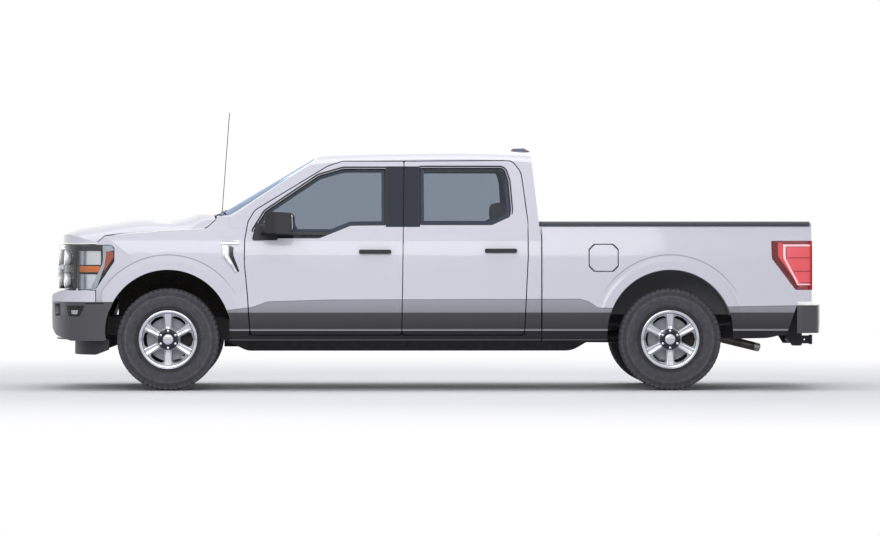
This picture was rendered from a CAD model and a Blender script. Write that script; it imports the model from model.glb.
import math

import bmesh
import bpy
import numpy as np
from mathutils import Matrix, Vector
from mathutils.bvhtree import BVHTree


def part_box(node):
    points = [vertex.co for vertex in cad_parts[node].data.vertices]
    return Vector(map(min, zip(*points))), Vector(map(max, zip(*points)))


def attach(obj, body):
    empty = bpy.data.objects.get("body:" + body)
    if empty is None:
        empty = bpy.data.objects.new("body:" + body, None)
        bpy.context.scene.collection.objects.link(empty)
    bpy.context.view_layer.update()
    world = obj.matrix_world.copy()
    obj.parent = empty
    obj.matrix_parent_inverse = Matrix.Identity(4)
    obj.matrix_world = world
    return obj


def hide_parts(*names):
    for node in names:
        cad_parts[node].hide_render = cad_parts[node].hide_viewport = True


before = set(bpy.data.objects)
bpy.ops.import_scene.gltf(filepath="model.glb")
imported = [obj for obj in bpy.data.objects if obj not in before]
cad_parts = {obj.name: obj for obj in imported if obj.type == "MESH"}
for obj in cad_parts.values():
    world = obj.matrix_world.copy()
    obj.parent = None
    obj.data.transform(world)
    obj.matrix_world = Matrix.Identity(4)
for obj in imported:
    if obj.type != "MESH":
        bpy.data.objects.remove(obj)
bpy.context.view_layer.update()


# The ladder frame: two long steel rails with crossmembers, pressed and welded.
# It is dipped in black wax, so it is dark and half dull, with road dust on it.

def colour(text):
    """The linear colour of an sRGB hex value, with its alpha: ((c + 0.055) / 1.055) to the power 2.4."""
    parts = [int(text[i:i + 2], 16) / 255.0 for i in (1, 3, 5)]
    return tuple(c / 12.92 if c <= 0.04045 else ((c + 0.055) / 1.055) ** 2.4 for c in parts) + (1.0,)


def add_node(tree, kind, settings=(), links=()):
    """Adds one shader node, sets its attributes or socket values, and joins sockets to its inputs."""
    made = tree.nodes.new("ShaderNode" + kind)
    for key, value in dict(settings).items():
        if isinstance(key, str) and hasattr(made, key):
            setattr(made, key, value)
        else:
            made.inputs[key].default_value = value
    for key, source in dict(links).items():
        tree.links.new(source, made.inputs[key])
    return made


def feed(tree, socket, value):
    """Gives an input another node's output, the colour of an sRGB hex, or a plain value."""
    if isinstance(value, bpy.types.NodeSocket):
        tree.links.new(value, socket)
    else:
        socket.default_value = colour(value) if isinstance(value, str) else value


def new_material(name, settings):
    """A material with settings on its shader's own sockets; also its tree, shader and place."""
    made = bpy.data.materials.new(name)
    made.use_nodes = True
    tree = made.node_tree
    shader = tree.nodes["Principled BSDF"]
    for key, value in settings.items():
        feed(tree, shader.inputs[key], value)
    place = add_node(tree, "TexCoord").outputs["Object"]
    return made, tree, shader, place


def dress(material, *names):
    """Gives CAD nodes one material."""
    for name in names:
        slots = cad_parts[name].data.materials
        slots.clear()
        slots.append(material)


def coordinate(tree, place, axis):
    """How far a point lies along X, Y or Z, in metres."""
    return add_node(tree, "SeparateXYZ", {}, {"Vector": place}).outputs[axis]


def reckon(tree, operation, first, second=0.0):
    """One sum of two values; each is a number or another node's output."""
    made = add_node(tree, "Math", {"operation": operation})
    feed(tree, made.inputs[0], first)
    feed(tree, made.inputs[1], second)
    return made.outputs[0]


def ramped(tree, value, low, high, start=0.0, end=1.0):
    """The start up to low and the end from high on, with a straight run between."""
    limits = {"From Min": low, "From Max": high, "To Min": start, "To Max": end}
    return add_node(tree, "MapRange", limits, {"Value": value}).outputs["Result"]


def past(tree, value, edge, soft=0.0005):
    """0 before an edge and 1 past it, in a step twice as wide as soft."""
    return ramped(tree, value, edge - soft, edge + soft)


def within(tree, value, low, high, soft=0.0005):
    """1 between two edges and 0 outside them."""
    return reckon(tree, "MULTIPLY", past(tree, value, low), ramped(tree, value, high + soft, high - soft))


def blended(tree, factor, first, second):
    """The first colour at 0 and the second at 1; each is an sRGB hex or another node's output."""
    made = add_node(tree, "Mix", {"data_type": "RGBA"}, {"Factor": factor})
    feed(tree, made.inputs[6], first)
    feed(tree, made.inputs[7], second)
    return made.outputs[2]


def banded(tree, value, stops):
    """Colours along a value from 0 to 1: each stop is a place, and an sRGB hex or a linear grey."""
    ramp = add_node(tree, "ValToRGB", {}, {"Fac": value})
    marks = ramp.color_ramp.elements
    while len(marks) < len(stops):
        marks.new(0.5)
    for mark, (at, tint) in zip(marks, stops):
        mark.position = at
        mark.color = colour(tint) if isinstance(tint, str) else (tint, tint, tint, 1.0)
    return ramp.outputs["Color"]


def bumped(tree, height, distance, strength):
    """A normal raised by a height, as far as the distance in metres."""
    relief = {"Distance": distance, "Strength": strength}
    return add_node(tree, "Bump", relief, {"Height": height}).outputs["Normal"]


def speckle(tree, shader, place, dark, light, size_mm, bump_mm):
    """Mixes two near colours by a noise of a real size, and raises the surface by the same noise."""
    noise = add_node(tree, "TexNoise", {"Scale": 1000.0 / size_mm, "Detail": 4.0, "Roughness": 0.6},
                     {"Vector": place}).outputs["Fac"]
    tint = banded(tree, noise, [(0.35, dark), (0.65, light)])
    feed(tree, shader.inputs["Base Color"], tint)
    feed(tree, shader.inputs["Normal"], bumped(tree, noise, bump_mm / 1000.0, 0.5))
    return tint


wax, tree, shader, place = new_material("black waxed steel", {"Roughness": 0.55, "Metallic": 0.0})
speckle(tree, shader, place, "#121214", "#26262a", 60.0, 0.6)
dress(wax, "frame", "hitch_receiver", "front_suspension")


# The engine and the hubs: iron cast in sand and left bare.
# The skin is rough and brown-grey where it has rusted a little.

iron, tree, shader, place = new_material("cast iron", {"Roughness": 0.7, "Metallic": 0.6})
speckle(tree, shader, place, "#2b2826", "#4a4642", 9.0, 0.8)
dress(iron, "engine", "knuckle_left", "knuckle_right", "rear_axle")


# Leaf springs and propshaft: springs rolled and bent hot, and a drawn tube with welded joints.
# Mill scale is left on both, so they are dark grey with a dull shine.

spring_steel, tree, shader, place = new_material("spring steel", {"Roughness": 0.5, "Metallic": 0.8})
speckle(tree, shader, place, "#2f3033", "#46474b", 25.0, 0.3)
dress(spring_steel, "leaf_springs", "propshaft")


# Exhaust: aluminised steel tube bent cold, with a welded silencer.
# Heat has browned it in broad bands, but for the bright tip.

aluminised, tree, shader, place = new_material("aluminised steel", {"Roughness": 0.42, "Metallic": 0.9})
heat = speckle(tree, shader, place, "#4c4843", "#6f6b64", 90.0, 0.2)
TIP_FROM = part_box("exhaust")[1].y - 0.055
tip = ramped(tree, coordinate(tree, place, "Y"), TIP_FROM, TIP_FROM + 0.005)
feed(tree, shader.inputs["Base Color"], blended(tree, tip, heat, "#a9a6a2"))
dress(aluminised, "exhaust")


# Radiator: an aluminium core with thin fins, painted black, behind the grille.
# The fins are drawn 25 mm apart, coarser than real, so that they show.

FIN_SCALE = 12.5
core, tree, shader, place = new_material("finned aluminium core", {"Roughness": 0.5, "Metallic": 0.7})
fins = add_node(tree, "TexWave", {"Scale": FIN_SCALE, "bands_direction": "Z"}, {"Vector": place})
tints = banded(tree, fins.outputs["Fac"], [(0.0, "#0d0d0f"), (1.0, "#3c3e42")])
feed(tree, shader.inputs["Base Color"], tints)
dress(core, "radiator")


# Moulded black plastic: cowl, mirrors, handles, air dam, rail caps, liners and tank.
# ABS and polypropylene from a grained mould; the rear liners are paler with road dust.

plastic, tree, shader, place = new_material("grained black ABS",
                                            {"Roughness": 0.48, "Specular IOR Level": 0.4})
speckle(tree, shader, place, "#232327", "#303036", 2.5, 0.25)
dress(plastic, "cowl", "air_dam", "front_door_trim_left", "front_door_trim_right",
      "rear_door_trim_left", "rear_door_trim_right")

liner, tree, shader, place = new_material("felted polypropylene", {"Roughness": 0.85})
felt = speckle(tree, shader, place, "#1b1b1d", "#2c2c2f", 6.0, 1.0)
rear = ramped(tree, coordinate(tree, place, "Y"), 0.5, 0.6)
feed(tree, shader.inputs["Base Color"], blended(tree, rear, felt, "#6a6a6e"))
dress(liner, "wheelhouse_liners", "fuel_tank")

cap_plastic, tree, shader, place = new_material("grained rail cap", {"Roughness": 0.5})
speckle(tree, shader, place, "#33373d", "#43484f", 3.0, 0.3)
dress(cap_plastic, "rail_caps")


# Wheels: six-spoke wheels with a chromed cover over the spokes' faces, lug nuts and centre cap.
# The barrel behind is bare cast aluminium, and the brake disc is turned iron.

TYRE_LOW, TYRE_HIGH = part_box("front_tyre_left")
REAR_LOW, REAR_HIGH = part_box("rear_tyre_left")
FRONT_AXLE_Y = (TYRE_LOW.y + TYRE_HIGH.y) / 2.0
REAR_AXLE_Y = (REAR_LOW.y + REAR_HIGH.y) / 2.0
WHEEL_X = (TYRE_LOW.x + TYRE_HIGH.x) / 2.0
TYRE_RADIUS = (TYRE_HIGH.z - TYRE_LOW.z) / 2.0
SIDES = (("left", 1.0), ("right", -1.0))

# Where bare metal ends and plating starts outside the wheel's middle plane, and where the hub's dark well
# ends and the spokes start about the axle.
BARE_TO, PLATED_FROM = 0.030, 0.036
WELL_TO, SPOKES_FROM = 0.078, 0.090


def flat_reach(tree, one, other):
    """How far a point is from an axis, from its distances along two ways square to it."""
    flat = add_node(tree, "CombineXYZ", {}, {"X": one, "Y": other}).outputs["Vector"]
    return add_node(tree, "VectorMath", {"operation": "LENGTH"}, {0: flat}).outputs["Value"]


def axle_reach(tree, place):
    """How far a point is from its wheel's axle, seen from the side."""
    fore = reckon(tree, "SUBTRACT", coordinate(tree, place, "Y"), (FRONT_AXLE_Y + REAR_AXLE_Y) / 2.0)
    fore = reckon(tree, "SUBTRACT", reckon(tree, "ABSOLUTE", fore), (REAR_AXLE_Y - FRONT_AXLE_Y) / 2.0)
    over = reckon(tree, "SUBTRACT", coordinate(tree, place, "Z"), TYRE_RADIUS)
    return flat_reach(tree, fore, over)


chrome_face, tree, shader, place = new_material("chromed wheel face", {"Metallic": 1.0, "Roughness": 0.12})
out = reckon(tree, "ABSOLUTE", coordinate(tree, place, "X"))
spokes = ramped(tree, out, WHEEL_X + BARE_TO, WHEEL_X + PLATED_FROM)
metal = blended(tree, spokes, "#b4b7bc", "#9b9ea6")
hub = ramped(tree, axle_reach(tree, place), WELL_TO, SPOKES_FROM)
feed(tree, shader.inputs["Base Color"], blended(tree, hub, "#3b3d42", metal))
feed(tree, shader.inputs["Metallic"], ramped(tree, spokes, 0.0, 1.0, 0.25, 1.0))
feed(tree, shader.inputs["Roughness"], ramped(tree, spokes, 0.0, 1.0, 0.42, 0.13))
scratch = add_node(tree, "TexNoise", {"Scale": 220.0, "Detail": 3.0}, {"Vector": place}).outputs["Fac"]
feed(tree, shader.inputs["Normal"], bumped(tree, scratch, 0.0003, 0.15))
dress(chrome_face, "front_wheel_left", "front_wheel_right", "rear_wheel_left", "rear_wheel_right")


# Tyres: all-terrain road tyres, moulded rubber with blocks at the shoulders, grooves round the tread,
# and ribs on the sidewall. They replace the plain CAD tyres and stay inside them.

TREAD_DEPTH = 0.009
ROUND_STEPS = 600
TREAD_PITCHES = 60
BEAD_RADIUS = 0.2190

# Three grooves round the tread: the place of each across the tyre, and how far it swings to and fro.
GROOVES = ((-0.042, 0.008), (0.0, -0.012), (0.042, 0.008))

# Tints by the distance from the axle: a dark bead, a paler wall with a bright ring, a shoulder and the tread.
TYRE_RINGS = [(0.0, "#5a5b62"), (0.262, "#63646a"), (0.270, "#a2a2a8"), (0.335, "#b0afb5"),
              (0.340, "#e4e3e8"), (0.347, "#a8a7ac"), (0.352, "#8f8e94"), (0.372, "#7f7e84"),
              (0.380, "#bdbcc2")]

rubber, tree, shader, place = new_material("moulded tyre rubber",
                                           {"Roughness": 0.78, "Specular IOR Level": 0.35})
dusty = speckle(tree, shader, place, "#59585c", "#69676b", 40.0, 0.3)
rings = banded(tree, axle_reach(tree, place), TYRE_RINGS)
ringed = add_node(tree, "Mix", {"data_type": "RGBA", "blend_type": "MULTIPLY", "Factor": 1.0},
                  {6: dusty, 7: rings})
lifted = add_node(tree, "Mix", {"data_type": "RGBA", "blend_type": "ADD", "Factor": 0.22},
                  {6: ringed.outputs[2], 7: dusty})
feed(tree, shader.inputs["Base Color"], lifted.outputs[2])


def build_mesh(name, grids, material, smooth=True):
    """One mesh from grids of points: each is rows by columns by 3, with its wrap along rows and columns.

    Every cell of a grid becomes a quad of its four corners; doubles at seams and poles are merged."""
    points, faces, start = [], [], 0
    for grid, wrap_rows, wrap_columns in grids:
        rows, columns = grid.shape[:2]
        index = np.arange(rows * columns).reshape(rows, columns) + start
        if wrap_rows:
            index = np.concatenate([index, index[:1]], 0)
        if wrap_columns:
            index = np.concatenate([index, index[:, :1]], 1)
        quads = np.stack([index[:-1, :-1], index[1:, :-1], index[1:, 1:], index[:-1, 1:]], -1).reshape(-1, 4)
        points.append(grid.reshape(-1, 3))
        faces.append(quads)
        start += rows * columns
    mesh = bpy.data.meshes.new(name)
    mesh.from_pydata(np.concatenate(points).tolist(), [], np.concatenate(faces).tolist())
    work = bmesh.new()
    work.from_mesh(mesh)
    bmesh.ops.remove_doubles(work, verts=work.verts, dist=1e-5)
    bmesh.ops.recalc_face_normals(work, faces=work.faces)
    work.to_mesh(mesh)
    work.free()
    mesh.polygons.foreach_set("use_smooth", [smooth] * len(mesh.polygons))
    mesh.materials.append(material)
    piece = bpy.data.objects.new(name, mesh)
    bpy.context.scene.collection.objects.link(piece)
    return piece


def soft_step(value, low, high):
    """0 below low, 1 above high, and a smooth cubic between: 3t squared less 2t cubed."""
    t = np.clip((value - low) / (high - low), 0.0, 1.0)
    return t * t * (3.0 - 2.0 * t)


def tyre_profile():
    """Half width and radius from the inner bead over the tread to the outer bead, evenly spaced."""
    half, radius = (TYRE_HIGH.x - TYRE_LOW.x) / 2.0, TYRE_RADIUS
    side = [(0.1040, 0.2195), (0.1046, 0.2340), (0.1080, 0.2450), (0.1190, 0.2640), (0.1280, 0.2880),
            (half - 0.0004, radius - 0.097), (0.1300, radius - 0.060), (0.1240, radius - 0.030),
            (0.1130, radius - 0.0085), (0.1000, radius - 0.0030), (0.0600, radius - 0.0005),
            (0.0, radius - 0.0002)]
    knots = np.array([(-x, r) for x, r in side] + [(x, r) for x, r in reversed(side[:-1])])
    run = np.concatenate([[0.0], np.cumsum(np.hypot(*np.diff(knots, axis=0).T))])
    along = np.linspace(0.0, run[-1], 112)
    return np.interp(along, run, knots[:, 0]), np.interp(along, run, knots[:, 1])


def make_tyre(node, body, name):
    """A tyre as profile by angle; the radius drops by the tread depth in grooves, which are bands
    round the tread that wave with the angle, and slots across the shoulders, staggered by half a pitch."""
    low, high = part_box(node)
    centre = (low + high) / 2.0
    across, radius = tyre_profile()
    angle = np.linspace(0.0, 2.0 * math.pi, ROUND_STEPS, endpoint=False)
    x, turn = np.meshgrid(across, angle, indexing="ij")
    r = np.repeat(radius[:, None], len(angle), 1)
    beat = turn * TREAD_PITCHES / (2.0 * math.pi)
    wave = np.abs((beat % 1.0) * 2.0 - 1.0) - 0.5
    groove = np.zeros_like(r)
    for place_x, swing in GROOVES:
        distance = np.abs(x - place_x - swing * wave)
        groove = np.maximum(groove, 1.0 - soft_step(distance, 0.0035, 0.0055))
    for way in (-1.0, 1.0):
        phase = (beat + 0.25 * way + 3.0 * np.abs(x)) % 1.0
        slot = 1.0 - soft_step(np.abs(phase - 0.5), 0.10, 0.17)
        shoulder = soft_step(x * way, 0.050, 0.056) * (1.0 - soft_step(radius.max() - r, 0.040, 0.050))
        groove = np.maximum(groove, slot * shoulder)
    sipe = (beat * 2.0 + 6.0 * x) % 1.0
    fine = (1.0 - soft_step(np.abs(sipe - 0.5), 0.05, 0.10)) * (1.0 - soft_step(np.abs(x), 0.085, 0.095))
    depth = np.maximum(groove, 0.45 * fine) * TREAD_DEPTH
    on_tread = soft_step(r, TYRE_RADIUS - 0.055, TYRE_RADIUS - 0.030)
    r = r - depth * on_tread
    wall = 1.0 - soft_step(r, TYRE_RADIUS - 0.060, TYRE_RADIUS - 0.050)
    rings = sum(np.exp(-((r - mid) / 0.0016) ** 2) for mid in (0.2480, 0.2560, 0.3400))
    ribs = (np.cos(turn * 180.0) > 0.2) * soft_step(r, 0.330, 0.334) * (1.0 - soft_step(r, 0.342, 0.346))
    push = (0.0012 * rings + 0.0010 * ribs) * wall
    bulged = np.abs(x) + push - 0.0020 * wall
    x = np.sign(x) * np.where(np.abs(x) > 0.1, bulged, np.abs(x))
    points = np.stack([centre.x + x, centre.y + r * np.cos(turn), centre.z + r * np.sin(turn)], -1)
    bead_turn = turn[[0, -1]]
    inner = np.stack([x[[0, -1]] * 0.97 + centre.x, centre.y + BEAD_RADIUS * np.cos(bead_turn),
                      centre.z + BEAD_RADIUS * np.sin(bead_turn)], -1)
    loop = np.concatenate([inner[:1], points, inner[1:]], 0)
    piece = build_mesh(name + "_tyre_tread", [(loop, True, True)], rubber)
    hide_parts(node)
    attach(piece, body)


for end in ("front", "rear"):
    for hand in ("left", "right"):
        make_tyre(end + "_tyre_" + hand, "wheel_" + end + "_" + hand, end + "_" + hand)

RIM_TO, RUBBER_FROM = 0.222, 0.224
spare, tree, shader, place = new_material("spare tyre on a steel rim", {"Roughness": 0.75})
spare_low, spare_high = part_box("spare_wheel")
middle = (spare_low + spare_high) / 2.0
reach = flat_reach(tree, reckon(tree, "SUBTRACT", coordinate(tree, place, "X"), middle.x),
                   reckon(tree, "SUBTRACT", coordinate(tree, place, "Y"), middle.y))
rim = ramped(tree, reach, RIM_TO, RUBBER_FROM)
feed(tree, shader.inputs["Base Color"], blended(tree, rim, "#55575c", "#2b2b2d"))
dress(spare, "spare_wheel")


# Wheel covers: a bright plated blade with raised edges on each spoke, a domed centre cap, six lug nuts
# and a lip round the rim. They clip to the cast wheel.

def turned(base, axis, profile, steps=48):
    """A grid of points turned about an axis: each profile pair is a distance along the axis and a radius."""
    axis = np.array(axis, dtype=float)
    aside = np.cross(axis, (0.0, 0.0, 1.0) if abs(axis[2]) < 0.9 else (1.0, 0.0, 0.0))
    aside /= np.linalg.norm(aside)
    other = np.cross(axis, aside)
    angle = np.linspace(0.0, 2.0 * math.pi, steps, endpoint=False)
    round_way = np.cos(angle)[:, None] * aside + np.sin(angle)[:, None] * other
    return np.array([np.array(base) + axis * along + round_way * radius for along, radius in profile])


# Profiles as pairs: the spoke's face by radius, and the cap, rim lip and lug nut along the axle.
SPOKE_FACE = [(0.066, 0.1030), (0.082, 0.0985), (0.098, 0.0905), (0.176, 0.0985), (0.204, 0.1025)]
CAP = [(0.0990, 0.0430), (0.1040, 0.0425), (0.1080, 0.0390), (0.1105, 0.0310), (0.1118, 0.0160),
       (0.1121, 0.0002)]
LIP = [(0.1010, 0.2045), (0.1090, 0.2090), (0.1135, 0.2160), (0.1139, 0.2240), (0.1130, 0.2325),
       (0.1080, 0.2345)]
NUT = [(0.0900, 0.0122), (0.1050, 0.0118), (0.1090, 0.0095), (0.1110, 0.0055), (0.1116, 0.0002)]
SPOKES = 6
NUT_CIRCLE = 0.0675
chrome = new_material("plated chrome", {"Metallic": 1.0, "Roughness": 0.10, "Base Color": "#cfd2d8"})[0]


def spoke_blade(centre, way, angle):
    """A spoke's plated blade: its height follows the cast face, with two raised edges across its width."""
    run = np.linspace(0.084, 0.204, 16)
    height = np.interp(run, *zip(*SPOKE_FACE))
    width = 0.019 + 0.011 * soft_step(run, 0.066, 0.204)
    across = np.array([-1.0, -0.97, -0.78, -0.55, -0.25, 0.0, 0.25, 0.55, 0.78, 0.97, 1.0])
    lift = np.array([-0.012, 0.0025, 0.0062, 0.0045, 0.0012, 0.0004, 0.0012, 0.0045, 0.0062, 0.0025, -0.012])
    ends = soft_step(run, 0.082, 0.092)
    x = height[:, None] + lift[None, :] * ends[:, None]
    radial = np.repeat(run[:, None], len(across), 1)
    sideways = width[:, None] * across[None, :]
    y = radial * math.cos(angle) - sideways * math.sin(angle)
    z = radial * math.sin(angle) + sideways * math.cos(angle)
    return np.stack([centre.x + way * x, centre.y + y, centre.z + z], -1)


def make_wheel_cover(node, body, name, way):
    """Spoke blades, cap, lug nuts and rim lip of one wheel, as one plated mesh."""
    low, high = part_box(node)
    middle = (low + high) / 2.0
    centre = Vector((way * WHEEL_X, middle.y, middle.z))
    axis = (way, 0.0, 0.0)
    angles = [math.pi / 2.0 + i * 2.0 * math.pi / SPOKES for i in range(SPOKES)]
    grids = [(spoke_blade(centre, way, angle), False, False) for angle in angles]
    grids += [(turned(centre, axis, CAP), False, True), (turned(centre, axis, LIP, 120), False, True)]
    for angle in angles:
        nut_place = centre + Vector((0.0, NUT_CIRCLE * math.cos(angle), NUT_CIRCLE * math.sin(angle)))
        grids.append((turned(nut_place, axis, NUT, 18), False, True))
    piece = build_mesh(name, grids, chrome)
    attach(piece, body)


for end in ("front", "rear"):
    for hand, way in SIDES:
        make_wheel_cover(end + "_wheel_" + hand, "wheel_" + end + "_" + hand,
                         end + "_" + hand + "_wheel_cover", way)


# Body panels: pressed steel and aluminium, primed, sprayed pale grey-white with a pearl flake, and lacquered.
# The sills and lower doors carry a darker second colour, which steps down at both wheels.

def metres_along(tree, y, pairs, low, high):
    """A height that follows the truck's length: greys along Y, scaled from low to high."""
    start, end = pairs[0][0], pairs[-1][0]
    greys = [((at - start) / (end - start), (height - low) / (high - low)) for at, height in pairs]
    return ramped(tree, banded(tree, ramped(tree, y, start, end), greys), 0.0, 1.0, low, high)


# Each flare's line is a circle about a point over the axle. The split is a height at some places along.
ARCH_Z, FLARE_RADIUS = 0.462, 0.617
FADE_FROM, FADE_TO = 0.95, 0.74
SPLIT = [(-1.70, 0.634), (-1.455, 0.664), (-1.335, 0.708), (-0.86, 0.722), (1.145, 0.728), (1.215, 0.708),
         (1.290, 0.658), (1.42, 0.656), (2.20, 0.664), (2.99, 0.678)]

# Heights of the second colour's bands: a black foot, a bright fold, a dark middle and a paler top.
BANDS_FROM, BANDS_TO = 0.38, 0.74
LOWER_BANDS = [(0.398, "#121114"), (0.402, "#77757b"), (0.408, "#222024"), (0.474, "#1a181c"),
               (0.479, "#a3a1a9"), (0.486, "#918f96"), (0.492, "#38363a"), (0.618, "#444246"),
               (0.624, "#94949b"), (0.722, "#a4a5b0")]

body_paint, tree, shader, place = new_material("pearl lacquer over two colours", {
    "Roughness": 0.34, "Coat Roughness": 0.04, "Specular IOR Level": 0.3})
along, height = coordinate(tree, place, "Y"), coordinate(tree, place, "Z")
above = reckon(tree, "SUBTRACT", height, metres_along(tree, along, SPLIT, 0.6, 0.8))
is_pale = ramped(tree, above, -0.001, 0.001)
flake = add_node(tree, "TexNoise", {"Scale": 900.0, "Detail": 2.0}, {"Vector": place}).outputs["Fac"]
pale = blended(tree, flake, "#d9d8e3", "#e2e1ea")
bands = [((at - BANDS_FROM) / (BANDS_TO - BANDS_FROM), tint) for at, tint in LOWER_BANDS]
dark = banded(tree, ramped(tree, height, BANDS_FROM, BANDS_TO), bands)
two = blended(tree, is_pale, dark, pale)

# Dark lines: along the split, and round each wheel where the flare leaves the panel, fading out downwards.
edge = ramped(tree, reckon(tree, "ABSOLUTE", above), 0.0025, 0.0035, 0.60, 0.0)
for axle in (FRONT_AXLE_Y, REAR_AXLE_Y):
    reach = flat_reach(tree, reckon(tree, "SUBTRACT", along, axle), reckon(tree, "SUBTRACT", height, ARCH_Z))
    off = reckon(tree, "ABSOLUTE", reckon(tree, "SUBTRACT", reach, FLARE_RADIUS))
    line = ramped(tree, off, 0.002, 0.006, 0.55, 0.0)
    line = reckon(tree, "MULTIPLY", line, ramped(tree, height, FADE_TO, FADE_FROM))
    edge = reckon(tree, "MAXIMUM", edge, line)
lined = blended(tree, edge, two, "#3c3b40")

# A blue-black strip on the pillar between the door windows, from the belt to the roof.
PILLAR_Y, PILLAR_Z = (-0.3980, -0.1240), (1.3005, 1.7855)
strip = reckon(tree, "MULTIPLY", within(tree, along, *PILLAR_Y), within(tree, height, *PILLAR_Z))
feed(tree, shader.inputs["Base Color"], blended(tree, strip, lined, "#111a2b"))
gloss = reckon(tree, "MULTIPLY", ramped(tree, is_pale, 0.0, 1.0, 0.15, 0.9),
               ramped(tree, strip, 0.0, 1.0, 1.0, 0.4))
feed(tree, shader.inputs["Coat Weight"], gloss)
peel = add_node(tree, "TexNoise", {"Scale": 160.0, "Detail": 1.0}, {"Vector": place}).outputs["Fac"]
feed(tree, shader.inputs["Coat Normal"], bumped(tree, peel, 0.0002, 0.08))
dress(body_paint, "cab_shell", "front_fenders", "hood", "bed_sides", "tailgate", "fuel_door", "bed_floor",
      "front_door_left", "front_door_right", "rear_door_left", "rear_door_right")

# The bumpers are grey, and above this height the front one is painted as the body is.
VALANCE_Z = 0.706
grey_paint, tree, shader, place = new_material("dark metallic bumper paint", {
    "Roughness": 0.36, "Metallic": 0.35, "Coat Weight": 0.7, "Coat Roughness": 0.06})
top = past(tree, coordinate(tree, place, "Z"), VALANCE_Z)
front = reckon(tree, "LESS_THAN", coordinate(tree, place, "Y"), 0.0)
valance = reckon(tree, "MULTIPLY", top, front)
feed(tree, shader.inputs["Base Color"], blended(tree, valance, "#4c4b50", "#dcdbe5"))
dress(grey_paint, "front_bumper", "rear_bumper")


# Glass: toughened side glass and a laminated windshield, tinted grey, about 5 mm thick.
# It shows what is behind it darkened, and mirrors the surroundings at a slant.

def clear_sheet(name, tint, gloss):
    """A thin clear sheet: light passes straight through with a tint, and reflects by the angle."""
    made, tree, shader, place = new_material(name, {})
    through = add_node(tree, "BsdfTransparent", {"name": "sheet tint", "Color": colour(tint)})
    mirror = add_node(tree, "BsdfGlossy", {"Color": colour(gloss), "Roughness": 0.02})
    edge = add_node(tree, "Fresnel", {"IOR": 1.5})
    mix = add_node(tree, "MixShader", {}, {0: edge.outputs["Fac"], 1: through.outputs["BSDF"],
                                           2: mirror.outputs["BSDF"]})
    tree.links.new(mix.outputs["Shader"], tree.nodes["Material Output"].inputs["Surface"])
    tree.nodes.remove(shader)
    return made


side_glass = clear_sheet("tinted side glass", "#d6dadf", "#dfe6f0")
dress(side_glass, "front_door_glass_left", "front_door_glass_right", "rear_door_glass_left",
      "rear_door_glass_right")
screen_glass = clear_sheet("laminated windshield glass", "#b4c8e2", "#c4d9f8")
dress(screen_glass, "cab_glass")


# Grille: a moulded ABS frame with two mesh cells and a plain middle bar, clipped between the lamps.
# Its frame is plated with copper, nickel and chromium, and the cells behind it are left black.

# The grille bows back by so much at its half width; its cells start behind this Y at the middle.
GRILLE_BOW, GRILLE_HALF = 0.034, 0.474
CELLS_Y = -3.013
plated, tree, shader, place = new_material("grille, plated and black", {"Roughness": 0.16})
aside = coordinate(tree, place, "X")
bow = reckon(tree, "MULTIPLY", reckon(tree, "MULTIPLY", aside, aside), GRILLE_BOW / GRILLE_HALF ** 2)
deep = reckon(tree, "SUBTRACT", coordinate(tree, place, "Y"), bow)
cells = past(tree, deep, CELLS_Y)
feed(tree, shader.inputs["Base Color"], blended(tree, cells, "#cfd2d8", "#17181a"))
feed(tree, shader.inputs["Metallic"], ramped(tree, cells, 0.0, 1.0, 1.0, 0.0))
dress(plated, "grille")


# Fender vents: a plated hook with a bar over it, behind each front wheel.
# They are moulded ABS, plated bright, in a gloss black recess, and clip through the fender's skin.

ray_trees = {}


def first_hits(node, starts, way):
    """Where rays sent one way from each start first meet a node; not a number where one misses."""
    if node not in ray_trees:
        ray_trees[node] = BVHTree.FromObject(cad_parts[node], bpy.context.evaluated_depsgraph_get())
    hits = [ray_trees[node].ray_cast(Vector(start), Vector(way))[0] for start in starts]
    return np.array([(np.nan,) * 3 if hit is None else tuple(hit) for hit in hits])


def outer_face(node, side, y, z):
    """The X of a node's outer face on one side of the truck, at each Y and Z."""
    starts = [(side * 2.0, a, b) for a, b in zip(y.ravel(), z.ravel())]
    return first_hits(node, starts, (-side, 0.0, 0.0))[:, 0].reshape(y.shape)


def even_run(corners, count):
    """Points evenly spaced along a line through corners given as Y and Z."""
    corners = np.array(corners)
    run = np.concatenate([[0.0], np.cumsum(np.hypot(*np.diff(corners, axis=0).T))])
    along = np.linspace(0.0, run[-1], count)
    return np.stack([np.interp(along, run, corners[:, 0]), np.interp(along, run, corners[:, 1])], -1)


PLATE_STEPS = (24, 9)


def lay_plate(name, node, side, left, right, lift, crown, material, sink=0.001):
    """A plate on a body side, between two edge lines: its face is the panel's face lifted, plus a crown of
    1 less the square of the way across; walls go down into the panel, and a floor closes it."""
    left, right = even_run(left, PLATE_STEPS[0]), even_run(right, PLATE_STEPS[0])
    across = np.linspace(0.0, 1.0, PLATE_STEPS[1])
    flat = left[:, None] * (1.0 - across[None, :, None]) + right[:, None] * across[None, :, None]
    face = outer_face(node, side, flat[..., 0], flat[..., 1])
    face = np.where(np.isnan(face), np.nanmean(face), face)
    bulge = lift + crown * (1.0 - (2.0 * across - 1.0) ** 2)
    top = np.concatenate([(face + side * bulge)[..., None], flat], -1)
    under = np.concatenate([(face - side * sink)[..., None], flat], -1)
    around = np.concatenate([top, under[:, ::-1]], 1)
    ends = [np.stack([top[row], under[row]], 0) for row in (0, -1)]
    piece = build_mesh(name, [(around, False, True), (ends[0], False, False), (ends[1], False, False)],
                       material, False)
    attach(piece, "chassis")


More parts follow.
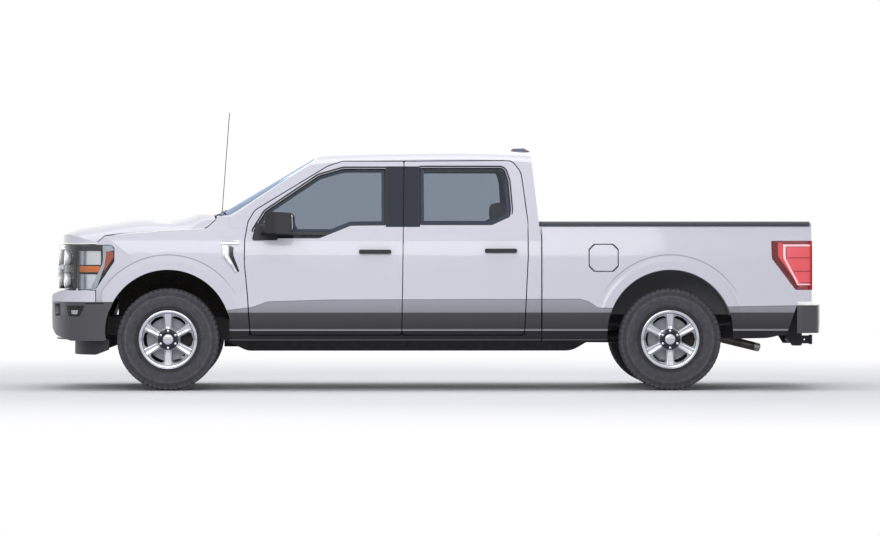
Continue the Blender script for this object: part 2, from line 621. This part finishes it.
# The edges of each plate, as corners along and up.
VENT_TOP = [(-1.7035, 1.1925), (-1.5640, 1.1945)]
VENT_TOP_LOW = [(-1.7035, 1.1560), (-1.5650, 1.1600)]
VENT_LEFT = [(-1.7020, 1.1520), (-1.7020, 1.0650), (-1.5920, 0.9330)]
VENT_RIGHT = [(-1.6420, 1.1520), (-1.6420, 1.0720), (-1.5740, 0.9420)]
SHADE_RIGHT = [(-1.6060, 1.1400), (-1.6080, 1.0780), (-1.5600, 0.9480)]
black_gloss = new_material("gloss black ABS", {"Roughness": 0.15, "Base Color": "#0e0e10"})[0]
for hand, way in SIDES:
    lay_plate(hand + "_vent_hook", "front_fenders", way, VENT_LEFT, VENT_RIGHT, 0.004, 0.006, chrome)
    lay_plate(hand + "_vent_bar", "front_fenders", way, VENT_TOP_LOW, VENT_TOP, 0.005, 0.004, chrome)
    lay_plate(hand + "_vent_shade", "front_fenders", way, VENT_RIGHT, SHADE_RIGHT, 0.001, 0.0, black_gloss)


# Fog lamps: a black moulded pocket with a small bright lamp in it, pressed into each side of the bumper.
# The gap between the bumper's shell and the pale panel over it is a dark line beside them.

FOG_LEFT = [(-2.940, 0.6760), (-2.920, 0.5900)]
FOG_RIGHT = [(-2.790, 0.6760), (-2.830, 0.5900)]
FOG_LAMP_LEFT = [(-2.900, 0.6400), (-2.895, 0.6080)]
FOG_LAMP_RIGHT = [(-2.842, 0.6400), (-2.850, 0.6080)]
VALANCE_GAP = [(-2.790, 0.6990), (-2.640, 0.6990)]
VALANCE_GAP_LOW = [(-2.790, 0.6890), (-2.640, 0.6890)]
for hand, way in SIDES:
    lay_plate(hand + "_fog_pocket", "front_bumper", way, FOG_LEFT, FOG_RIGHT, 0.0008, 0.0, black_gloss)
    lay_plate(hand + "_fog_lamp", "front_bumper", way, FOG_LAMP_LEFT, FOG_LAMP_RIGHT, 0.0020, 0.003, chrome)
    lay_plate(hand + "_valance_gap", "front_bumper", way, VALANCE_GAP_LOW, VALANCE_GAP, 0.0008, 0.0,
              black_gloss)


# Window seals: black rubber lips extruded in one length and clipped over each window frame's edge.
# Inside each, the glass carries a dark ceramic band that was printed and fired on.

def glass_loop(node, side):
    """The edge of a glass's outer face in order: the border edges of its outward faces, end to end."""
    work = bmesh.new()
    work.from_mesh(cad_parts[node].data)
    bmesh.ops.remove_doubles(work, verts=work.verts, dist=1e-5)
    work.normal_update()
    outward = {face for face in work.faces if face.normal.x * side > 0.7}
    border = {}
    for edge in work.edges:
        if sum(face in outward for face in edge.link_faces) == 1:
            for one, other in (edge.verts, reversed(edge.verts)):
                border.setdefault(one, []).append(other)
    start = next(iter(border))
    loop, before = [start], None
    while True:
        onward = [vert for vert in border[loop[-1]] if vert is not before]
        if not onward or onward[0] is start:
            break
        before = loop[-1]
        loop.append(onward[0])
    points = np.array([vert.co for vert in loop])
    work.free()
    return points


def spaced_loop(points, spacing):
    """A closed line's points, evenly spaced by its running length."""
    closed = np.concatenate([points, points[:1]], 0)
    run = np.concatenate([[0.0], np.cumsum(np.linalg.norm(np.diff(closed, axis=0), axis=1))])
    along = np.arange(0.0, run[-1], spacing)
    return np.stack([np.interp(along, run, closed[:, axis]) for axis in range(3)], -1)


rubber_seal, tree, shader, place = new_material("extruded seal rubber", {"Roughness": 0.42})
speckle(tree, shader, place, "#141519", "#1f2127", 4.0, 0.1)
frit = new_material("fired ceramic band", {"Roughness": 0.22, "Base Color": "#2f3a50"})[0]

# Sections as pairs: outwards in the plane of the glass, and away from its face.
SEAL_STEP = 0.012
SEAL_SECTION = [(-0.012, 0.0005), (-0.011, 0.0035), (-0.004, 0.0055), (0.002, 0.0130), (0.010, 0.0155),
                (0.0165, 0.0150), (0.0165, 0.0105), (0.0050, 0.0080), (0.0020, 0.0005)]
FRIT_SECTION = [(-0.034, 0.0004), (-0.034, 0.0012), (-0.010, 0.0012), (-0.010, 0.0004)]


def make_seal(name, node, side, body):
    """A lip carried round the glass, and a fired band inside it: flat sections in the plane of the line's
    outward and side directions."""
    line = spaced_loop(glass_loop(node, side), SEAL_STEP)
    along = np.roll(line, -1, 0) - np.roll(line, 1, 0)
    along /= np.linalg.norm(along, axis=1)[:, None]
    up = np.array([side, 0.0, 0.0]) - along * (along[:, :1] * side)
    up /= np.linalg.norm(up, axis=1)[:, None]
    out = np.cross(along, up)
    if np.mean(np.sum(out * (line - line.mean(0)), 1)) < 0:
        out = -out
    for title, section, material, smooth in ((name, SEAL_SECTION, rubber_seal, True),
                                             (name.replace("seal", "frit"), FRIT_SECTION, frit, False)):
        flat = np.array(section)
        tube = line[:, None] + out[:, None] * flat[None, :, :1] + up[:, None] * flat[None, :, 1:]
        piece = build_mesh(title, [(tube, True, True)], material, smooth)
        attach(piece, body)


for hand, way in SIDES:
    for end in ("front", "rear"):
        make_seal(end + "_" + hand + "_window_seal", end + "_door_glass_" + hand, way,
                  end + "_door_" + hand + "_body")


# Lamps: moulded polycarbonate lenses over metallised reflectors, screwed to the body behind their edge.
# The tail lamps are red acrylic with a white strip, over red segments.

lens = clear_sheet("clear polycarbonate", "#f2f5f8", "#ffffff")
dress(lens, "headlamps")
red_lens = clear_sheet("red acrylic, clear at its side", "#f04a58", "#ffd9dc")
tree = red_lens.node_tree
CLEAR_TO, RED_FROM = 2.974, 2.978
length = coordinate(tree, add_node(tree, "TexCoord").outputs["Object"], "Y")
tints = banded(tree, ramped(tree, length, CLEAR_TO, RED_FROM), [(0.0, "#fde6e8"), (1.0, "#f04a58")])
feed(tree, tree.nodes["sheet tint"].inputs["Color"], tints)
dress(red_lens, "taillamps")
hump, tree, shader, place = new_material("roof lamp, grey cap and red lens", {"Roughness": 0.25})
CAP_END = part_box("roof_lamp")[1].y - 0.0295
back = past(tree, coordinate(tree, place, "Y"), CAP_END)
feed(tree, shader.inputs["Base Color"], banded(tree, back, [(0.0, "#6f7482"), (1.0, "#a3101c")]))
dress(hump, "roof_lamp")
reflector = new_material("metallised reflector",
                         {"Metallic": 0.55, "Roughness": 0.26, "Base Color": "#ffffff"})[0]
housing = new_material("dark lamp housing", {"Roughness": 0.3, "Base Color": "#26272d"})[0]
amber = new_material("amber acrylic", {"Roughness": 0.2, "Base Color": "#ff8c00", "Coat Weight": 0.5})[0]
marker_amber = new_material("side marker acrylic",
                            {"Roughness": 0.2, "Base Color": "#d4602f", "Coat Weight": 0.5})[0]
silver = new_material("silver lamp bezel", {"Metallic": 0.6, "Roughness": 0.3, "Base Color": "#c9ccd4"})[0]

# Each lamp part is a plate laid inside the lens: name, two edge lines, depth under its face, crown, finish.
LAMP_PARTS = [
    ("brow", [(-2.890, 1.1560), (-2.600, 1.1560)], [(-2.870, 1.1150), (-2.650, 1.1150)], -0.004, 0.0,
     housing),
    ("bezel_top", [(-2.645, 1.1540), (-2.575, 1.1540), (-2.553, 1.1150)],
     [(-2.645, 1.1150), (-2.640, 1.1150), (-2.610, 1.1050)], -0.003, 0.0, silver),
    ("bezel_side", [(-2.645, 1.1150), (-2.645, 1.0200), (-2.745, 0.8000)],
     [(-2.6200, 1.1150), (-2.6200, 1.0200), (-2.700, 0.8040)], -0.005, 0.0, silver),
    ("marker", [(-2.617, 1.1050), (-2.638, 0.9420)], [(-2.560, 1.1050), (-2.560, 1.0600)], -0.004, 0.003,
     marker_amber),
    ("upper_lamp", [(-2.832, 1.0000), (-2.832, 1.1100)], [(-2.660, 1.0000), (-2.660, 1.1100)], -0.040,
     -0.022, reflector),
    ("lower_lamp", [(-2.832, 0.8060), (-2.832, 0.9230)], [(-2.735, 0.8060), (-2.690, 0.9230)], -0.040,
     -0.022, reflector),
    ("upper_rib", [(-2.834, 1.0000), (-2.834, 1.1100)], [(-2.800, 1.0000), (-2.800, 1.1100)], -0.012, 0.002,
     silver),
    ("lower_rib", [(-2.834, 0.8060), (-2.834, 0.9230)], [(-2.800, 0.8060), (-2.800, 0.9230)], -0.012, 0.002,
     silver),
    ("turn_lamp", [(-2.834, 0.9420), (-2.675, 0.9420)], [(-2.834, 0.9900), (-2.662, 0.9900)], -0.006, 0.004,
     amber),
    ("backing", [(-2.850, 0.7990), (-2.850, 1.1580)], [(-2.580, 0.7990), (-2.570, 1.1580)], -0.070, 0.0,
     housing),
]
TAIL_PARTS = [
    ("band", [(2.682, 1.180), (2.682, 1.060), (2.866, 0.808)],
     [(2.722, 1.180), (2.722, 1.060), (2.890, 0.826)], -0.004, 0.0, "#701019"),
    ("bright_edge", [(2.722, 1.180), (2.722, 1.070), (2.905, 0.822)],
     [(2.760, 1.168), (2.760, 1.060), (2.915, 0.838)], -0.008, 0.0, "#ff7a82"),
    ("c_upright", [(2.764, 1.160), (2.764, 1.055), (2.872, 0.848)],
     [(2.784, 1.148), (2.784, 1.052), (2.884, 0.860)], -0.003, 0.003, "#ffffff"),
    ("c_top", [(2.764, 1.146), (2.985, 1.146)], [(2.764, 1.162), (2.985, 1.162)], -0.003, 0.002, "#ffffff"),
    ("c_foot", [(2.872, 0.838), (2.985, 0.838)], [(2.872, 0.850), (2.985, 0.850)], -0.003, 0.002, "#ffffff"),
    ("panel", [(2.792, 1.140), (2.792, 1.040), (2.895, 0.860)],
     [(2.980, 1.140), (2.980, 1.040), (2.980, 0.860)], -0.012, 0.004, "#ff8a94"),
    ("panel_line_one", [(2.800, 1.052), (2.980, 1.052)], [(2.800, 1.058), (2.980, 1.058)], -0.005, 0.0,
     "#a01824"),
    ("panel_line_two", [(2.850, 0.946), (2.980, 0.946)], [(2.850, 0.952), (2.980, 0.952)], -0.005, 0.0,
     "#a01824"),
]
tail_finishes = {}
for tint in dict.fromkeys(part[-1] for part in TAIL_PARTS):
    glow = 0.35 if tint == "#ffffff" else 0.12
    tail_finishes[tint] = new_material("tail lamp " + tint[1:], {
        "Roughness": 0.25, "Base Color": tint, "Emission Color": tint, "Emission Strength": glow})[0]
for hand, way in SIDES:
    for name, left_line, right_line, lift, crown, finish in LAMP_PARTS:
        lay_plate(hand + "_headlamp_" + name, "headlamps", way, left_line, right_line, lift, crown, finish,
                  0.002 - lift)
    for name, left_line, right_line, lift, crown, tint in TAIL_PARTS:
        lay_plate(hand + "_taillamp_" + name, "taillamps", way, left_line, right_line, lift, crown,
                  tail_finishes[tint], 0.002 - lift)


# Lamp bowls: four in each headlamp, moulded and metallised inside, with rims up to 60 mm ahead of the lens.
# A small cap in the middle of each bowl hides its bulb.

def plate_at(name, centre, right, up, out, outline, depth, material, body):
    """A flat plate from an outline in its own right and up directions, as thick as its depth."""
    right, up, out = (np.array(v, dtype=float) for v in (right, up, out))
    front = np.array([np.array(centre) + right * a + up * b for a, b in outline])
    middle = front.mean(0)
    rings = [front - out * depth, front, front + (middle - front) * 0.02 + out * 0.0008]
    grid = np.array(rings + [np.repeat(middle[None], len(front), 0) + out * 0.0008])
    piece = build_mesh(name, [(grid, False, True)], material, False)
    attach(piece, body)


def rounded_corners(width, height, radius, steps=6):
    """Corners of a rounded rectangle about its middle: quarter circles joined in order."""
    turn = np.linspace(0.0, math.pi / 2.0, steps)
    points = []
    for i, (sx, sy) in enumerate(((1, 1), (-1, 1), (-1, -1), (1, -1))):
        angle = turn + i * math.pi / 2.0
        points += [(sx * (width / 2.0 - radius) + radius * math.cos(a),
                    sy * (height / 2.0 - radius) + radius * math.sin(a)) for a in angle]
    return points


BOWL = [(0.030, 0.062), (0.012, 0.060), (-0.008, 0.052), (-0.022, 0.036), (-0.026, 0.014), (-0.010, 0.013),
        (-0.006, 0.0002)]
BOWL_PLACES = ((0.605, -2.985, 1.055), (0.605, -2.985, 0.880), (0.755, -2.930, 1.055), (0.755, -2.930, 0.880))
for hand, way in SIDES:
    bowls = [(turned((way * x, y, z), (way * 0.10, -0.995, 0.0), BOWL, 40), False, True)
             for x, y, z in BOWL_PLACES]
    piece = build_mesh(hand + "_headlamp_bowls", bowls, reflector)
    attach(piece, "chassis")


# Mirror glass: a flat plate, silvered behind, with rounded corners.
# It stands in the back of each mirror's head on a ball joint, and leans a little.

silvered = new_material("silvered mirror glass",
                        {"Metallic": 1.0, "Roughness": 0.03, "Base Color": "#c9d0d8"})[0]
for hand, way in SIDES:
    plate_at(hand + "_mirror_glass", (way * 1.126, -1.1372, 1.338), (1.0, 0.0, 0.0), (0.0, -0.04, 1.0),
             (0.0, 1.0, 0.0), rounded_corners(0.150, 0.118, 0.018), 0.004, silvered,
             "front_door_" + hand + "_body")


# Wipers: two pressed steel arms, painted black, with rubber blades.
# They lie at the foot of the windshield and turn on shafts in the cowl.

def carried(points, radius, sides=8):
    """A round bar along points: circles square to the run at each point."""
    points = np.array(points)
    along = np.gradient(points, axis=0)
    along /= np.linalg.norm(along, axis=1)[:, None]
    aside = np.cross(along, (0.0, 0.0, 1.0))
    aside /= np.linalg.norm(aside, axis=1)[:, None]
    up = np.cross(aside, along)
    angle = np.linspace(0.0, 2.0 * math.pi, sides, endpoint=False)
    return (points[:, None] + radius * (np.cos(angle)[None, :, None] * aside[:, None]
                                        + np.sin(angle)[None, :, None] * up[:, None]))


WIPER_STEPS = 24
BLADE_Z, ARM_Z = (1.4100, 1.4340), (1.3950, 1.4260)
for name, start, end in (("left", 0.50, -0.12), ("right", -0.14, -0.70)):
    x = np.linspace(start, end, WIPER_STEPS)
    z = np.linspace(*BLADE_Z, WIPER_STEPS)
    y = first_hits("cab_glass", [(a, -4.0, b) for a, b in zip(x, z)], (0.0, 1.0, 0.0))[:, 1]
    y = np.where(np.isnan(y), np.nanmean(y), y)
    blade = carried(np.stack([x, y - 0.010, z], -1), 0.006)
    arm_x = np.linspace(start + 0.02, (start + end) / 2.0, 10)
    arm_z = np.linspace(*ARM_Z, 10)
    arm_y = np.linspace(y[0] - 0.050, y[WIPER_STEPS // 2] - 0.022, 10)
    arm = carried(np.stack([arm_x, arm_y, arm_z], -1), 0.007)
    piece = build_mesh(name + "_wiper", [(blade, False, True), (arm, False, True)], plastic)
    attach(piece, "chassis")


# Rear plate: a blank aluminium sheet with rounded corners, enamelled white.
# It is screwed to the face of the rear bumper.

plate_white = new_material("blank plate enamel", {"Roughness": 0.35, "Base Color": "#e9e9ea"})[0]
plate_at("blank_plate", (0.0, 3.0745, 0.590), (-1.0, 0.0, 0.0), (0.0, 0.0, 1.0), (0.0, 1.0, 0.0),
         rounded_corners(0.300, 0.110, 0.008), 0.002, plate_white, "chassis")


# Inside: a moulded dashboard and steering wheel, and seats of foam pads in woven cloth on moulded bases.
# The pads replace the plain CAD seats; channels are sewn along them and their sides stand up as bolsters.

trim_plastic, tree, shader, place = new_material("grained trim plastic", {"Roughness": 0.7})
speckle(tree, shader, place, "#4b4845", "#5b5753", 2.0, 0.3)
dress(trim_plastic, "dashboard", "steering_wheel")

cloth, tree, shader, place = new_material("woven seat cloth", {"Roughness": 0.9, "Sheen Weight": 0.3})
speckle(tree, shader, place, "#5b5753", "#6f6a65", 3.0, 0.5)


def signed_power(value, power):
    """The size of a value to a power, with the value's own sign."""
    return np.sign(value) * np.abs(value) ** power


def superellipsoid(columns, rows, square, round_edge):
    """Points x = cos v to the e times cos u to the s, y = cos v to the e times sin u to the s and
    z = sin v to the e, each with its own sign, for e the round edge and s the square."""
    u = np.linspace(0.0, 2.0 * math.pi, columns, endpoint=False)
    v = np.linspace(-math.pi / 2.0, math.pi / 2.0, rows)
    v, u = np.meshgrid(v, u, indexing="ij")
    ring = signed_power(np.cos(v), round_edge)
    return (ring * signed_power(np.cos(u), square), ring * signed_power(np.sin(u), square),
            signed_power(np.sin(v), round_edge))


def make_pad(name, centre, half, lean, seams):
    """A cushion: a superellipsoid crowned by its corners pulled in, with channels pressed along the given
    lines, then leaned back about its own width."""
    x, y, z = superellipsoid(96, 48, 0.30, 0.55)
    z = z * (1.0 - 0.22 * (x * x * y * y))
    for axis, at in seams:
        run = x if axis == "x" else y
        z = z * (1.0 - 0.10 * np.exp(-((run - at) / 0.035) ** 2))
    bolster = 0.16 * soft_step(np.abs(x), 0.55, 0.80) * (z > 0)
    z = z * (0.92 + bolster)
    points = np.stack([x * half[0], y * half[1], z * half[2]], -1)
    tilt = math.radians(lean)
    leaned = points.copy()
    leaned[..., 1] = points[..., 1] * math.cos(tilt) - points[..., 2] * math.sin(tilt)
    leaned[..., 2] = points[..., 1] * math.sin(tilt) + points[..., 2] * math.cos(tilt)
    piece = build_mesh(name, [(leaned + np.array(centre), False, True)], cloth)
    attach(piece, "chassis")
    return piece


SEAT_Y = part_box("front_seats")[0].y
BENCH_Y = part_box("rear_bench")[0].y
FRONT_SEAT_X = 0.405
for hand, way in SIDES:
    cushion = make_pad(hand + "_seat_cushion", (way * FRONT_SEAT_X, SEAT_Y + 0.262, 0.900),
                       (0.250, 0.262, 0.082), 4.0, [("x", -0.42), ("x", 0.42), ("y", -0.30), ("y", 0.35)])
    make_pad(hand + "_seat_back", (way * FRONT_SEAT_X, SEAT_Y + 0.600, 1.245), (0.245, 0.285, 0.078), 105.0,
             [("x", -0.42), ("x", 0.42), ("y", -0.35), ("y", 0.25)])
    make_pad(hand + "_head_restraint", (way * FRONT_SEAT_X, SEAT_Y + 0.688, 1.600), (0.128, 0.092, 0.050),
             100.0, [])
    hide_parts("front_seats")
for name, middle, width in (("left", 0.425, 0.212), ("middle", 0.0, 0.210), ("right", -0.425, 0.212)):
    cushion = make_pad(name + "_bench_cushion", (middle, BENCH_Y + 0.225, 0.925), (width, 0.225, 0.078), 3.0,
                       [("x", -0.45), ("x", 0.45)])
    make_pad(name + "_bench_back", (middle, BENCH_Y + 0.425, 1.235), (width, 0.265, 0.072), 102.0,
             [("x", -0.45), ("x", 0.45), ("y", 0.30)])
    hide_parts("rear_bench")


def make_plinth(name, low, high):
    """A seat's moulded base: a rounded box, from a superellipsoid of low power."""
    unit = np.stack(superellipsoid(48, 24, 0.2, 0.2), -1)
    low, high = np.array(low), np.array(high)
    piece = build_mesh(name, [((low + high) / 2.0 + unit * (high - low) / 2.0, False, True)], trim_plastic)
    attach(piece, "chassis")


make_plinth("left_seat_base", (0.19, SEAT_Y + 0.03, 0.561), (0.62, SEAT_Y + 0.47, 0.850))
make_plinth("right_seat_base", (-0.62, SEAT_Y + 0.03, 0.561), (-0.19, SEAT_Y + 0.47, 0.850))
make_plinth("bench_base", (-0.62, BENCH_Y + 0.03, 0.561), (0.62, BENCH_Y + 0.40, 0.870))
dress(plastic, "antenna")


# The floor and the studio: a pale floor that keeps the truck's shadow and turns white far away.
# Three softboxes and a pale world light the truck evenly, and the camera looks squarely at its left side.

FLOOR_SIZE = 60.0
floor_mesh = bpy.data.meshes.new("studio_floor")
corners = [(-FLOOR_SIZE, -FLOOR_SIZE, 0.0), (FLOOR_SIZE, -FLOOR_SIZE, 0.0), (FLOOR_SIZE, FLOOR_SIZE, 0.0),
           (-FLOOR_SIZE, FLOOR_SIZE, 0.0)]
floor_mesh.from_pydata(corners, [], [(0, 1, 2, 3)])
floor = bpy.data.objects.new("studio_floor", floor_mesh)
bpy.context.scene.collection.objects.link(floor)
paper, tree, shader, place = new_material("pale studio floor", {"Roughness": 0.9, "Base Color": "#f4f4f6"})
ray = add_node(tree, "LightPath").outputs
reach = add_node(tree, "VectorMath", {"operation": "LENGTH"}, {0: place}).outputs["Value"]
seen = reckon(tree, "MULTIPLY", ramped(tree, reach, 4.0, 9.0), ray["Is Camera Ray"])
white = add_node(tree, "Emission", {"Strength": 1.0})
blend = add_node(tree, "MixShader", {}, {0: seen, 1: shader.outputs["BSDF"], 2: white.outputs["Emission"]})
tree.links.new(blend.outputs["Shader"], tree.nodes["Material Output"].inputs["Surface"])
floor_mesh.materials.append(paper)

world = bpy.data.worlds.new("studio")
bpy.context.scene.world = world
world.use_nodes = True
tree = world.node_tree
ray = add_node(tree, "LightPath").outputs
clear = reckon(tree, "MAXIMUM", ray["Is Camera Ray"], ray["Is Transmission Ray"])
clear = reckon(tree, "MAXIMUM", clear, ray["Is Glossy Ray"])
soft = add_node(tree, "Background", {"Color": colour("#f2f5ff"), "Strength": 0.42})
bright = add_node(tree, "Background", {"Color": colour("#ffffff"), "Strength": 1.0})
mix = add_node(tree, "MixShader", {}, {0: clear, 1: soft.outputs["Background"],
                                       2: bright.outputs["Background"]})
tree.links.new(mix.outputs["Shader"], tree.nodes["World Output"].inputs["Surface"])


def stand_up(name, data, place, target):
    """A lamp or camera at a place, turned to face a target."""
    holder = bpy.data.objects.new(name, data)
    holder.location = place
    holder.rotation_euler = (Vector(target) - Vector(place)).to_track_quat("-Z", "Y").to_euler()
    bpy.context.scene.collection.objects.link(holder)
    return holder


def add_softbox(name, place, target, width, height, watts):
    """A rectangular area lamp that faces a target."""
    lamp = bpy.data.lights.new(name, "AREA")
    lamp.shape = "RECTANGLE"
    lamp.size, lamp.size_y, lamp.energy = width, height, watts
    stand_up(name, lamp, place, target)


add_softbox("overhead softbox", (0.0, 0.0, 7.0), (0.0, 0.0, 0.0), 6.0, 10.0, 250.0)
add_softbox("near softbox", (10.0, -2.0, 5.0), (0.0, 0.0, 1.0), 9.0, 4.0, 330.0)
add_softbox("far softbox", (-10.0, 2.0, 5.0), (0.0, 0.0, 1.0), 9.0, 4.0, 220.0)

CAMERA_PLACE = (43.0, -0.7375, 1.36)
CAMERA_TARGET = (1.0, 0.033, 0.975)
camera = bpy.data.cameras.new("side camera")
camera.lens, camera.sensor_width, camera.clip_end = 216.3, 36.0, 300.0
bpy.context.scene.camera = stand_up("side camera", camera, CAMERA_PLACE, CAMERA_TARGET)
bpy.context.scene.view_settings.view_transform = "Standard"
